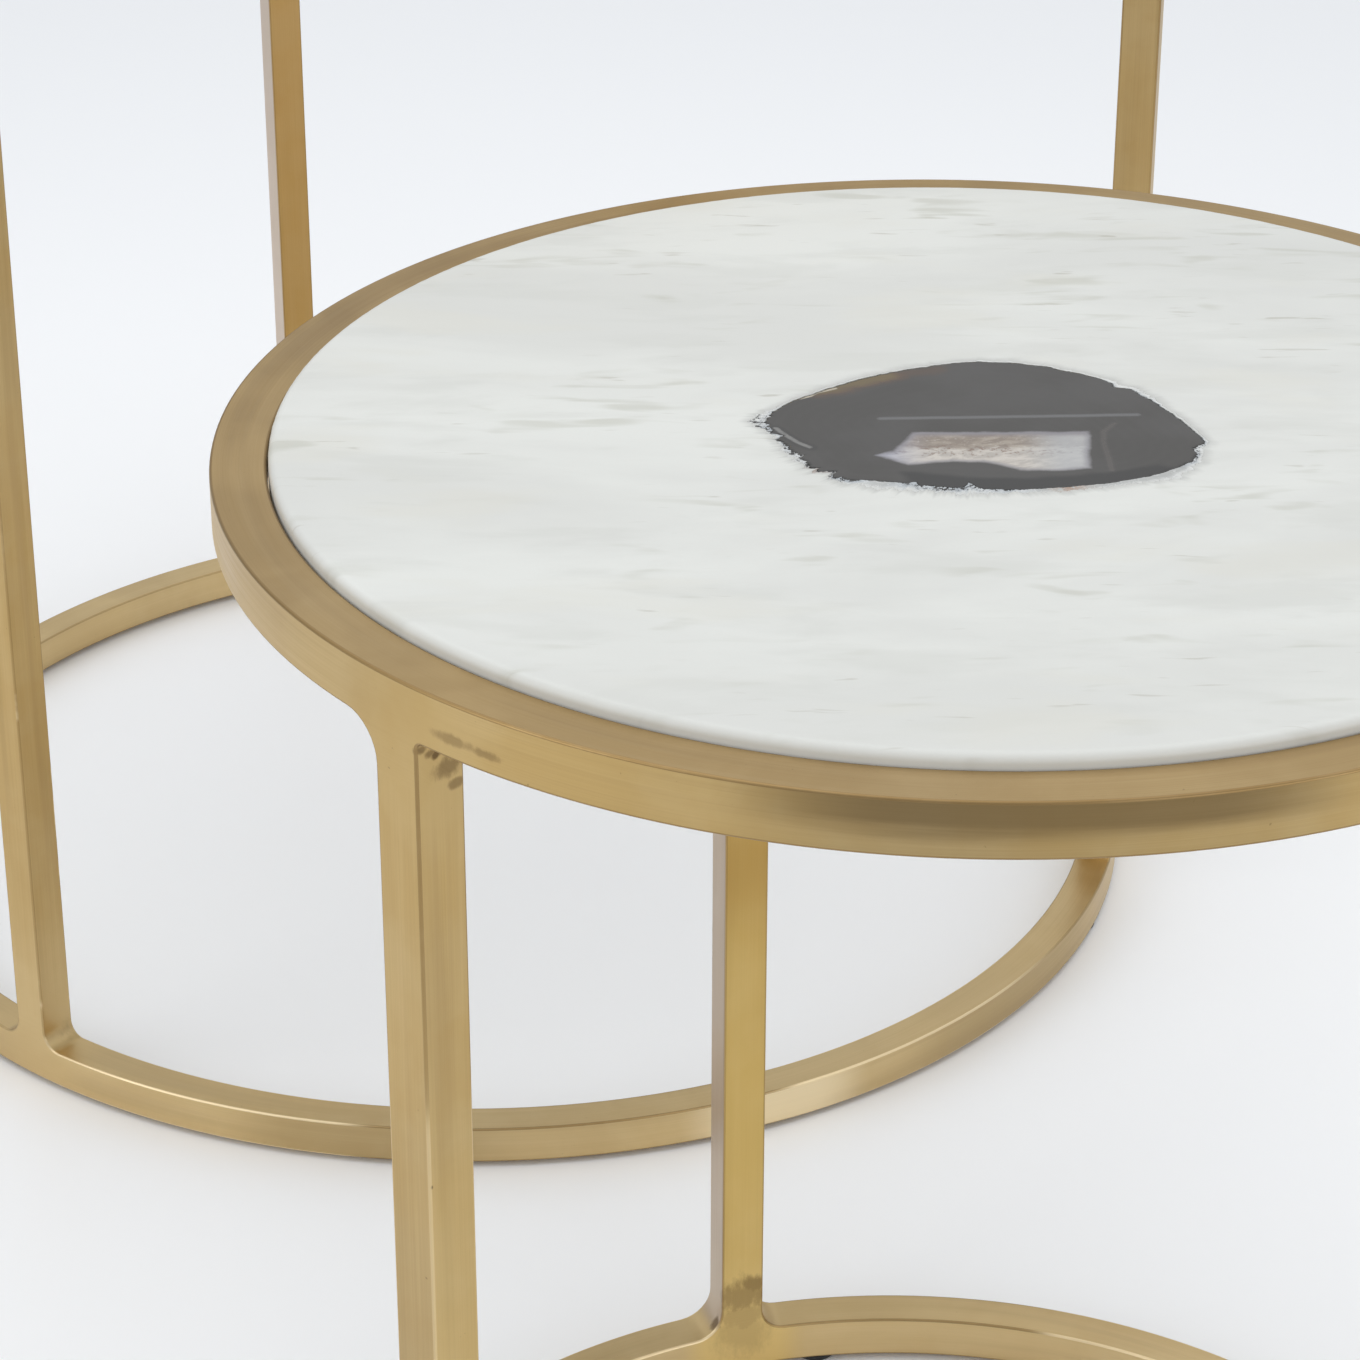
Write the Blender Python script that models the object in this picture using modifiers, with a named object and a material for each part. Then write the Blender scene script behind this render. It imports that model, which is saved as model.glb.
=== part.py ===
"""Nesting tables: a low round table and a taller round table that it tucks under.

Each table is a welded frame of square brass-finished tube, with a hoop at the top and a hoop at the
floor joined by three legs. A stone slab with an agate slice inlaid at its centre lies loose inside
the top hoop, on a spider of three flat bars with rubber pads.

Units are metres and +Z is up. The origin is on the floor at the middle of the pair, and +Y points
from the low table to the tall one.
"""
import math

import bmesh
import bpy
from mathutils import Matrix, Vector

# Tube and hoops
TUBE = 0.015                # outside width of the square tube
WALL = 0.0015               # its wall thickness
VENT_RADIUS = 0.003         # drain hole from a hoop into the end of each leg
HOOP_STEPS = 72             # facets round each hoop and each slab
GAP = 0.0003                # clearance between pieces that touch

# Spider that carries the slab
ARM_WIDTH = 0.020
ARM_THICK = 0.003
HUB_RADIUS = 0.030
PAD_RADIUS = 0.006
PAD_INNER_FROM_HUB = 0.012  # inner pads, outside the hub's edge
PAD_OUTER_FROM_TUBE = 0.020  # outer pads, inside the hoop's inner wall

# Slab, inlay and feet
SLAB_THICK = 0.012
SLAB_PROUD = 0.0036         # height of the slab's face above the hoop
SLAB_EASE = 0.0030          # radius of the slab's top edge
SLAB_CLEARANCE = 0.0010     # open joint between the slab and the hoop
AGATE_THICK = 0.006
POCKET_DEPTH = 0.0075
SEAM_WIDTH = 0.0022         # resin seam between the agate and the stone
INLAY_STEPS = 4             # points along the outline from one listed corner to the next
GLIDE_RADIUS = 0.007
GLIDE_HEIGHT = 0.002
GLIDE_FROM_LEG = math.radians(-8.7)  # glides sit a little to one side of the legs

# Places
TABLE_SPACING = 0.602       # between the two tables' centres, along Y
RADIUS_DIFFERENCE = 0.075   # between the tall table's hoops and the low one's

SMALL = {
    "name": "small",
    "radius": 0.200,
    "height": 0.440,        # top face of the hoop
    "centre_y": -(TABLE_SPACING + RADIUS_DIFFERENCE) / 2,
    "leg_degrees": (91.5, 209.0, 330.2),
    "inlay_scale": 1.0,
    "inlay_turn": 0.0,
}
LARGE = {
    "name": "large",
    "radius": SMALL["radius"] + RADIUS_DIFFERENCE,
    "height": 0.500,
    "centre_y": (TABLE_SPACING - RADIUS_DIFFERENCE) / 2,
    "leg_degrees": (97.7, 215.6, 333.5),
    "inlay_scale": 1.16,
    "inlay_turn": math.radians(158),
}

# Outline of the agate slice as it was sawn from its nodule, anticlockwise from its pointed end
SLICE_CORNERS = (
    (-0.050, 0.003), (-0.045, -0.017), (-0.028, -0.030), (-0.004, -0.041), (0.022, -0.0445),
    (0.043, -0.041), (0.057, -0.029), (0.057, -0.008), (0.050, 0.016), (0.034, 0.034),
    (0.015, 0.042), (-0.011, 0.040), (-0.034, 0.0315), (-0.049, 0.020),
)


def clear_scene():
    for thing in list(bpy.data.objects):
        bpy.data.objects.remove(thing, do_unlink=True)


def new_collection(name):
    collection = bpy.data.collections.new(name)
    bpy.context.scene.collection.children.link(collection)
    return collection


def material(name, colour, roughness, metallic):
    made = bpy.data.materials.new(name)
    made.use_nodes = True
    shader = made.node_tree.nodes["Principled BSDF"]
    shader.inputs["Base Color"].default_value = (*colour, 1.0)
    shader.inputs["Roughness"].default_value = roughness
    shader.inputs["Metallic"].default_value = metallic
    made.diffuse_color = (*colour, 1.0)
    return made


def add_object(name, mesh, collection, finish=None, parent=None):
    made = bpy.data.objects.new(name, mesh)
    collection.objects.link(made)
    made.parent = parent
    if finish:
        mesh.materials.append(finish)
    return made


def hide_cutter(cutter):
    cutter.hide_render = True
    cutter.display_type = "WIRE"


def cut(target, cutter):
    """Take the cutter's shape out of the target."""
    hide_cutter(cutter)
    boolean = target.modifiers.new("cut_" + cutter.name, "BOOLEAN")
    boolean.operation = "DIFFERENCE"
    boolean.solver = "EXACT"
    boolean.object = cutter


def turned(name, profile, collection, finish=None, parent=None, closed=True):
    """A profile of (radius, height) points turned about Z, listed down its outer side."""
    outline = bmesh.new()
    points = [outline.verts.new((radius, 0, height)) for radius, height in profile]
    for first, second in zip(points, points[1:]):
        outline.edges.new((first, second))
    if closed:
        outline.edges.new((points[-1], points[0]))
    mesh = bpy.data.meshes.new(name)
    outline.to_mesh(mesh)
    outline.free()
    made = add_object(name, mesh, collection, finish, parent)
    screw = made.modifiers.new("turn", "SCREW")
    screw.steps = HOOP_STEPS
    screw.render_steps = HOOP_STEPS
    screw.use_merge_vertices = True
    screw.merge_threshold = 0.00005
    screw.use_smooth_shade = False
    return made


def square_profile(outer, inner, low, high):
    return [(inner, high), (outer, high), (outer, low), (inner, low)]


def box_mesh(name, size):
    mesh = bpy.data.meshes.new(name)
    shape = bmesh.new()
    bmesh.ops.create_cube(shape, size=1.0, matrix=Matrix.Diagonal((*size, 1.0)))
    shape.to_mesh(mesh)
    shape.free()
    return mesh


def disc_mesh(name, radius, height, sides=20):
    mesh = bpy.data.meshes.new(name)
    shape = bmesh.new()
    bmesh.ops.create_cone(shape, cap_ends=True, segments=sides, radius1=radius, radius2=radius,
                          depth=height)
    shape.to_mesh(mesh)
    shape.free()
    mesh.shade_smooth()
    mesh.set_sharp_from_angle(angle=math.radians(35))
    return mesh


def flat_outline(name, points, thickness, height, collection, finish=None, parent=None):
    """A closed flat outline with thickness, as a mesh object centred on the given height."""
    curve = bpy.data.curves.new(name + "_outline", "CURVE")
    curve.dimensions = "2D"
    curve.fill_mode = "BOTH"
    curve.extrude = thickness / 2
    spline = curve.splines.new("POLY")
    spline.points.add(len(points) - 1)
    for target, (x, y) in zip(spline.points, points):
        target.co = (x, y, 0, 1)
    spline.use_cyclic_u = True
    drawn = bpy.data.objects.new(name + "_outline", curve)
    collection.objects.link(drawn)
    drawn.parent = parent
    drawn.location = (0, 0, height)
    bpy.context.view_layer.update()
    evaluated = drawn.evaluated_get(bpy.context.evaluated_depsgraph_get())
    mesh = bpy.data.meshes.new_from_object(evaluated)
    mesh.name = name
    mesh.materials.clear()
    welded = bmesh.new()
    welded.from_mesh(mesh)
    bmesh.ops.remove_doubles(welded, verts=welded.verts, dist=0.00001)
    welded.to_mesh(mesh)
    welded.free()
    made = add_object(name, mesh, collection, finish, parent)
    made.matrix_world = drawn.matrix_world.copy()
    bpy.data.objects.remove(drawn, do_unlink=True)
    bpy.data.curves.remove(curve)
    return made


def leg_angles(table):
    """Angles of the legs round the table, which were set out by hand and aren't quite evenly spaced."""
    return [math.radians(angle) for angle in table["leg_degrees"]]


def bay_angles(table):
    """Angles midway between one leg and the next."""
    legs = leg_angles(table)
    following = legs[1:] + [legs[0] + 2 * math.pi]
    return [(first + second) / 2 for first, second in zip(legs, following)]


def leg_middle(radius):
    """Distance from the axis to a leg's middle, with the leg's outer corners on the hoop's edge."""
    return math.sqrt(radius ** 2 - (TUBE / 2) ** 2) - TUBE / 2


def on_circle(radius, angle, height):
    return (radius * math.cos(angle), radius * math.sin(angle), height)


def spline_point(before, start, end, after, share):
    """A point between start and end on the smooth curve through four neighbours."""
    square = share * share
    cube = square * share
    return 0.5 * (2 * start + (end - before) * share
                  + (2 * before - 5 * start + 4 * end - after) * square
                  + (3 * start - before - 3 * end + after) * cube)


def inlay_outline(table, grow=0.0):
    """Smooth outline of the table's agate slice, grown outwards if asked."""
    turn = Matrix.Rotation(table["inlay_turn"], 2)
    corners = [turn @ Vector(corner) * table["inlay_scale"] for corner in SLICE_CORNERS]
    count = len(corners)
    points = []
    for number in range(count):
        four = [corners[(number + step) % count] for step in (-1, 0, 1, 2)]
        for step in range(INLAY_STEPS):
            point = spline_point(*four, step / INLAY_STEPS)
            points.append(point * (1 + grow / point.length))
    return points


def hoop(table, which, low, vent_side, parts, cutters, finish, origin):
    """One hollow hoop, with a drain hole at each leg through the wall that faces the leg."""
    outer = table["radius"]
    inner = outer - TUBE
    name = table["name"] + "_" + which
    made = turned(name, square_profile(outer, inner, low, low + TUBE), parts, finish, origin)
    hollow = square_profile(outer - WALL, inner + WALL, low + WALL, low + TUBE - WALL)
    cut(made, turned(name + "_hollow", hollow, cutters, parent=origin))
    wall_height = low + (TUBE - WALL / 2 if vent_side == "top" else WALL / 2)
    for number, angle in enumerate(leg_angles(table), start=1):
        mesh = disc_mesh(name + "_vent_" + str(number), VENT_RADIUS, WALL * 3, sides=12)
        vent = add_object(mesh.name, mesh, cutters, parent=origin)
        vent.location = on_circle(leg_middle(outer), angle, wall_height)
        cut(made, vent)


def legs(table, parts, cutters, finish, origin):
    """Three open-ended square tubes between the two hoops."""
    low = GLIDE_HEIGHT + GAP + TUBE + GAP
    high = table["height"] - TUBE - GAP
    for number, angle in enumerate(leg_angles(table), start=1):
        name = table["name"] + "_leg_" + str(number)
        leg = add_object(name, box_mesh(name, (TUBE, TUBE, high - low)), parts, finish, origin)
        leg.location = on_circle(leg_middle(table["radius"]), angle, (low + high) / 2)
        leg.rotation_euler = (0, 0, angle)
        bore = TUBE - 2 * WALL
        bore_mesh = box_mesh(name + "_bore", (bore, bore, high - low + TUBE))
        bore_cutter = add_object(name + "_bore", bore_mesh, cutters, parent=origin)
        bore_cutter.location = leg.location
        bore_cutter.rotation_euler = leg.rotation_euler
        cut(leg, bore_cutter)


def glides(table, parts, finish, origin):
    """Plastic glides under the floor hoop, one near each leg."""
    for number, angle in enumerate(leg_angles(table), start=1):
        name = table["name"] + "_glide_" + str(number)
        glide = add_object(name, disc_mesh(name, GLIDE_RADIUS, GLIDE_HEIGHT), parts, finish, origin)
        glide_angle = angle + GLIDE_FROM_LEG
        glide.location = on_circle(table["radius"] - TUBE / 2, glide_angle, GLIDE_HEIGHT / 2)


def hoop_apothem(table):
    """Least distance from the axis to the faceted inner wall of a hoop."""
    return (table["radius"] - TUBE) * math.cos(math.pi / HOOP_STEPS)


def spider(table, parts, finish, origin):
    """A round hub plate and three flat arms that reach the top hoop's inner wall, midway between legs."""
    middle = table["height"] - TUBE + ARM_THICK / 2
    hub_name = table["name"] + "_support_hub"
    hub = add_object(hub_name, disc_mesh(hub_name, HUB_RADIUS, ARM_THICK, sides=36), parts, finish, origin)
    hub.location = (0, 0, middle)
    inner_end = HUB_RADIUS + GAP
    outer_end = math.sqrt((hoop_apothem(table) - GAP) ** 2 - (ARM_WIDTH / 2) ** 2)
    for number, angle in enumerate(bay_angles(table), start=1):
        name = table["name"] + "_support_arm_" + str(number)
        size = (outer_end - inner_end, ARM_WIDTH, ARM_THICK)
        arm = add_object(name, box_mesh(name, size), parts, finish, origin)
        arm.location = on_circle((inner_end + outer_end) / 2, angle, middle)
        arm.rotation_euler = (0, 0, angle)


def pads(table, parts, finish, origin):
    """Soft pads between the spider's arms and the slab, one near each end of each arm."""
    low = table["height"] - TUBE + ARM_THICK + GAP
    high = slab_underside(table) - GAP
    places = {
        "inner": HUB_RADIUS + PAD_INNER_FROM_HUB,
        "outer": table["radius"] - TUBE - PAD_OUTER_FROM_TUBE,
    }
    for place, radius in places.items():
        for number, angle in enumerate(bay_angles(table), start=1):
            name = table["name"] + "_pad_" + place + "_" + str(number)
            pad = add_object(name, disc_mesh(name, PAD_RADIUS, high - low), parts, finish, origin)
            pad.location = on_circle(radius, angle, (low + high) / 2)


def slab_top(table):
    return table["height"] + SLAB_PROUD


def slab_underside(table):
    return slab_top(table) - SLAB_THICK


def slab(table, parts, cutters, finish, origin):
    """Round slab with a softened top edge and a blind pocket for the inlay."""
    top = slab_top(table)
    radius = hoop_apothem(table) - SLAB_CLEARANCE
    bend = SLAB_EASE * (1 - math.sqrt(0.5))
    profile = [
        (0, top),
        (radius - SLAB_EASE, top),
        (radius - bend, top - bend),
        (radius, top - SLAB_EASE),
        (radius, slab_underside(table)),
        (0, slab_underside(table)),
    ]
    stone = turned(table["name"] + "_stone_top", profile, parts, finish, origin, closed=False)
    outline = inlay_outline(table, grow=SEAM_WIDTH)
    extra = 0.002
    pocket = flat_outline(table["name"] + "_pocket", outline, POCKET_DEPTH + extra,
                          top - POCKET_DEPTH / 2 + extra / 2, cutters, parent=origin)
    cut(stone, pocket)


def inlay(table, parts, cutters, agate_finish, resin_finish, origin):
    """Agate slice flush with the slab's face, in a tray of resin that fills the pocket round it."""
    top = slab_top(table)
    agate_name = table["name"] + "_agate_inlay"
    flat_outline(agate_name, inlay_outline(table), AGATE_THICK, top - AGATE_THICK / 2, parts,
                 agate_finish, origin)
    resin_low = top - POCKET_DEPTH + GAP
    resin_high = top - GAP
    resin = flat_outline(table["name"] + "_resin_seam", inlay_outline(table, SEAM_WIDTH - GAP),
                         resin_high - resin_low, (resin_low + resin_high) / 2, parts, resin_finish,
                         origin)
    seat_low = top - AGATE_THICK - GAP
    seat_high = top + 0.002
    seat = flat_outline(table["name"] + "_resin_seat", inlay_outline(table, GAP),
                        seat_high - seat_low, (seat_low + seat_high) / 2, cutters, parent=origin)
    cut(resin, seat)


def make_table(table, parts, cutters, finishes):
    origin = bpy.data.objects.new(table["name"] + "_origin", None)
    parts.objects.link(origin)
    origin.location = (0, table["centre_y"], 0)
    top_origin = bpy.data.objects.new(table["name"] + "_top_origin", None)
    parts.objects.link(top_origin)
    top_origin.parent = origin
    bpy.context.view_layer.update()
    hoop(table, "top_ring", table["height"] - TUBE, "bottom", parts, cutters, finishes["brass"], origin)
    hoop(table, "base_ring", GLIDE_HEIGHT + GAP, "top", parts, cutters, finishes["brass"], origin)
    legs(table, parts, cutters, finishes["brass"], origin)
    glides(table, parts, finishes["glide"], origin)
    spider(table, parts, finishes["steel"], origin)
    pads(table, parts, finishes["pad"], origin)
    slab(table, parts, cutters, finishes["marble"], top_origin)
    inlay(table, parts, cutters, finishes["agate"], finishes["resin"], top_origin)


def main():
    clear_scene()
    parts = new_collection("nesting_tables")
    cutters = new_collection("cutters")
    finishes = {
        "brass": material("brushed_brass", (0.46, 0.32, 0.13), 0.36, 1.0),
        "steel": material("painted_steel", (0.30, 0.22, 0.11), 0.55, 0.6),
        "marble": material("white_marble", (0.76, 0.76, 0.72), 0.35, 0.0),
        "agate": material("grey_agate", (0.12, 0.115, 0.11), 0.08, 0.0),
        "resin": material("cast_resin", (0.40, 0.42, 0.45), 0.15, 0.0),
        "pad": material("clear_rubber", (0.62, 0.62, 0.60), 0.45, 0.0),
        "glide": material("black_plastic", (0.02, 0.02, 0.02), 0.50, 0.0),
    }
    for table in (SMALL, LARGE):
        make_table(table, parts, cutters, finishes)


main()
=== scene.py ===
"""Looks of the nesting tables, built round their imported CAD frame. Metres, +Z up, the CAD's own frame."""
import math

import bmesh
import bpy
import numpy as np
from mathutils import Matrix, Vector, noise


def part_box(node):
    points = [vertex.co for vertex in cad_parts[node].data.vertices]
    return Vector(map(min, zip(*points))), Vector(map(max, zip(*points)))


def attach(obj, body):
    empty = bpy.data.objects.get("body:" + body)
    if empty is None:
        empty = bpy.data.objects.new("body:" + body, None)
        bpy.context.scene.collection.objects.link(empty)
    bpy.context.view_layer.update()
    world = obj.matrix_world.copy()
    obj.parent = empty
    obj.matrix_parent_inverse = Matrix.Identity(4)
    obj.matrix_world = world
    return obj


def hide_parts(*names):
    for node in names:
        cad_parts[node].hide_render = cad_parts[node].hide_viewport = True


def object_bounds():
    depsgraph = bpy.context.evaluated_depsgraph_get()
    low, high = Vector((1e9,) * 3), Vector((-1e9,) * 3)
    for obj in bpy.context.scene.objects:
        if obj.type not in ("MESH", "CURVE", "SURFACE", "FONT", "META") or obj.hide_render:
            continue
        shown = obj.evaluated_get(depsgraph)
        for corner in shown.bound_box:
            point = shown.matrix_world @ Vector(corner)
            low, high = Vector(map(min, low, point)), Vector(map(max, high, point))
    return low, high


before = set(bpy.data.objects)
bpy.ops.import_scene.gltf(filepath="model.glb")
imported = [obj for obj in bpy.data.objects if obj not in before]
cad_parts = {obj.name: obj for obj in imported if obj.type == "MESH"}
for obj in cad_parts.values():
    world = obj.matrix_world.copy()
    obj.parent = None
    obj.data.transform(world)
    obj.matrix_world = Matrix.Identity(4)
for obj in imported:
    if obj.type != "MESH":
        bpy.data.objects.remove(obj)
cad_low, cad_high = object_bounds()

MM = 0.001

# Camera, in the frame's own coordinates
CAMERA_PLACE = Vector((-0.3307, -1.2656, 0.8720))
CAMERA_AIM = Vector((0.23363, 0.85820, -0.45706))
CAMERA_ROLL = 0.0014
CAMERA_LENS = 106.42
SENSOR_WIDTH = 36.0

# Frame metal
ARRIS = 0.75 * MM           # rounding of the tube's corners
ARRIS_STEPS = 3
WELD_CUT = 13 * MM          # how far each leg's weld reaches from the hoop
BAY_STEP = math.radians(1.6)
FILLET_STEPS = 8

# Slab and inlay
ROUND_STEPS = 900           # points round the slab, the seam and the agate
AGATE_ROWS = 60
RESIN_ROWS = 9
SLAB_EASE = 2.5 * MM
SLAB_GAP = 0.5 * MM         # open joint between slab and hoop
POCKET_DEPTH = 7.2 * MM     # of the slice's seat in the slab
BAR_WIDTH = 20 * MM
FLOOR_RADIUS = 5.0
GRAIN_TURN = math.radians(-15)
# direction of the painted dark reflection round the low table's rim
DARK_REFLECTION_TURN = math.radians(-103)
INLAY_TURN = {"small": 0.0, "large": math.radians(158)}
INLAY_SCALE = {"small": 1.0, "large": 1.16}

# Weld fillets in mm: for each leg the hoop's underside and then the floor hoop's top,
# each on the clockwise and the anticlockwise side of the leg
FILLETS = {
    "small": (((6, 5), (9, 11)), ((11, 2), (7, 8)), ((5, 6), (8, 7))),
    "large": (((6, 5), (8, 8)), ((7, 5), (8, 7)), ((5, 7), (8, 9))),
}

# Stains left by the torch: leg, depth, sideways offset and height in mm, half sizes in mm, strength.
# Heights are from the hoop's underside where negative or beyond 12 mm sideways, else from the floor hoop.
STAINS = {
    "small": (
        (2, 10.5, 7.5, -9.6, (5.8, 3.0, 3.8), 0.55),
        (2, 6.3, 7.5, -5.2, (1.9, 3.0, 1.5), 0.85),
        (2, 2.0, 7.5, -2.3, (2.4, 3.0, 1.4), 0.60),
        (2, 4.6, 7.5, -4.1, (2.4, 3.0, 1.5), 0.60),
        (2, 12.3, 7.5, -15.0, (3.4, 3.0, 1.7), 0.50),
        (2, 0.8, 20.0, 5.4, (5.0, 8.0, 1.8), 0.38),
        (2, 2.0, 30.0, 5.0, (5.0, 5.0, 1.5), 0.44),
        (2, 0.9, 7.5, 281.5, (0.5, 0.5, 0.8), 0.75),
        (2, 0.0, 5.0, 253.0, (0.5, 0.6, 0.5), 0.50),
        (1, 15.0, 0.0, 16.0, (4.0, 12.5, 9.0), 0.52),
        (1, 15.0, -3.5, 20.0, (4.0, 6.5, 5.0), 0.62),
        (1, 15.0, 0.0, 7.0, (4.0, 12.0, 8.0), 0.34),
        (1, 13.0, 9.5, 5.0, (3.0, 3.0, 4.0), 0.72),
    ),
    "large": (
        (2, 14.0, -2.0, 13.0, (4.0, 8.0, 6.0), 0.45),
        (1, 15.0, 0.0, 15.0, (4.0, 8.5, 6.5), 0.50),
    ),
}

# Round the slice, in degrees from its own X axis: how broken the joint is, and how wide the resin.
# Tan crumbs lie in two places, and small chips are out of the agate's edge. Each entry is a place,
# a strength or a width in mm, and a spread in degrees.
ROUGH_PLACES = ((160, 1.0, 7), (180, 0.8, 15), (204, 0.9, 9), (240, 0.45, 12), (260, 0.35, 14),
                (330, 0.6, 7), (10, 0.5, 10))
WIDE_PLACES = ((161, 3.6, 6), (190, 1.6, 12), (222, 4.6, 16), (252, 3.6, 14), (285, 1.8, 14),
               (312, 3.6, 12), (12, 0.8, 10))
TAN_PLACES = ((287, 1.0, 5), (200, 0.6, 4))
CHIPS = ((253.5, 3.4, 2.0), (17, 1.9, 1.5), (204, 2.6, 1.6), (208, -2.4, 11), (172, 1.6, 1.4),
         (188, 1.3, 1.2), (232, 1.6, 1.3), (331, 2.2, 2.2))

# Features of the slice, in mm in its own axes
WINDOW = ((-28.8, -11.9), (-23.3, -10.2), (-17.5, -3.3), (-14.5, 0.1), (31.3, -11.6), (22.8, -34.7),
          (13.1, -33.6), (4.9, -30.8), (1.5, -27.1), (-3.3, -23.4), (-10.3, -21.2), (-22.3, -20.2))
WINDOW_ALONG = (0.969, -0.2475)
WINDOW_DOWN = (-0.2475, -0.969)
BRIGHT_LINE = ((-20.0, 10.8), (12.0, 3.3), (47.2, -4.5))
SIDE_BAND = ((39.0, -8.5), (34.5, -13.2), (32.2, -19.1), (30.8, -25.1), (28.7, -32.2), (27.8, -37.0))
DARK_FOOT = ((-26.0, -23.0), (-11.0, -29.5), (4.0, -35.0), (25.0, -38.2), (42.0, -36.0), (60.0, -60.0),
             (-26.0, -60.0))
PALE_CRACK = ((-49.4, 11.9), (-47.8, 6.3), (-45.6, 0.8), (-43.5, -2.7))
AMBER_STREAK = ((-36.8, 29.2), (-33.7, 30.0), (-31.1, 31.9), (-25.5, 33.5))
AMBER = ((-30.0, 33.5), (-21.5, 35.5), (-15.5, 37.0), (-9.0, 38.5))
AMBER_TAIL = ((-12.0, 37.5), (6.0, 39.5))

MARBLE_WHITE = (0.735, 0.742, 0.705)
RESIN_OUTER = (0.690, 0.695, 0.670)
MARBLE_GREY = (0.665, 0.668, 0.635)
MARBLE_HAZE = (0.600, 0.605, 0.565)
MARBLE_WARM = (0.680, 0.665, 0.590)
MARBLE_STREAK = (0.500, 0.500, 0.430)
MARBLE_VEIN = (0.400, 0.380, 0.310)
BRASS_DEEP = (0.490, 0.342, 0.150)
BRASS_PALE = (0.555, 0.412, 0.205)
BRASS_GOLD = (0.610, 0.415, 0.152)
BRASS_BRIGHT = (0.680, 0.510, 0.265)
BRASS_SHADE = (0.300, 0.195, 0.082)
# painted shade for the rim's top, wear and painted highlight for the edges, painted light low down
BRASS_TOP_SHADE = (0.290, 0.195, 0.110)
BRASS_WORN_AND_HIGHLIGHT = (0.860, 0.700, 0.440)
BRASS_PAINTED_LIGHT = (0.900, 0.740, 0.460)

# the floor hoop's edge carries painted shade round this place and a painted highlight to either side
ARRIS_SHADE_MIDDLE = {"small": 76, "large": 264}   # degrees round the floor hoop, in the dark part of its line

# Painted shade and highlight on the tall table's floor hoop: place, two spreads in degrees, strength,
# colour
HOOP_SHADE_AND_HIGHLIGHT = (
    (247, 4, 13, 0.42, (0.300, 0.200, 0.085)),
    (281, 2, 9, 0.55, (1.000, 0.860, 0.600)),
    (308, 5, 17, 0.36, (0.330, 0.240, 0.120)),
)


class Table:
    """Sizes and places of one table, read from its CAD nodes."""

    def __init__(self, name):
        self.name = name
        low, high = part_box(name + "_top_ring")
        self.centre = Vector(((low.x + high.x) / 2, (low.y + high.y) / 2, 0))
        self.radius = (high.x - low.x) / 2
        self.tube = high.z - low.z
        self.rim_low = low.z
        self.rim_high = high.z
        low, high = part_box(name + "_base_ring")
        self.base_low = low.z
        self.base_high = high.z
        low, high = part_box(name + "_stone_top")
        self.slab_low = low.z
        self.slab_high = high.z
        self.legs = [self.angle_of(name + "_leg_" + str(number)) for number in (1, 2, 3)]
        self.frame_body = name + "_frame"
        self.top_body = name + "_top"

    def middle_of(self, node):
        low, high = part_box(node)
        return (low + high) / 2 - self.centre

    def angle_of(self, node):
        middle = self.middle_of(node)
        return math.atan2(middle.y, middle.x)


# ---------------------------------------------------------------- materials

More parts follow.
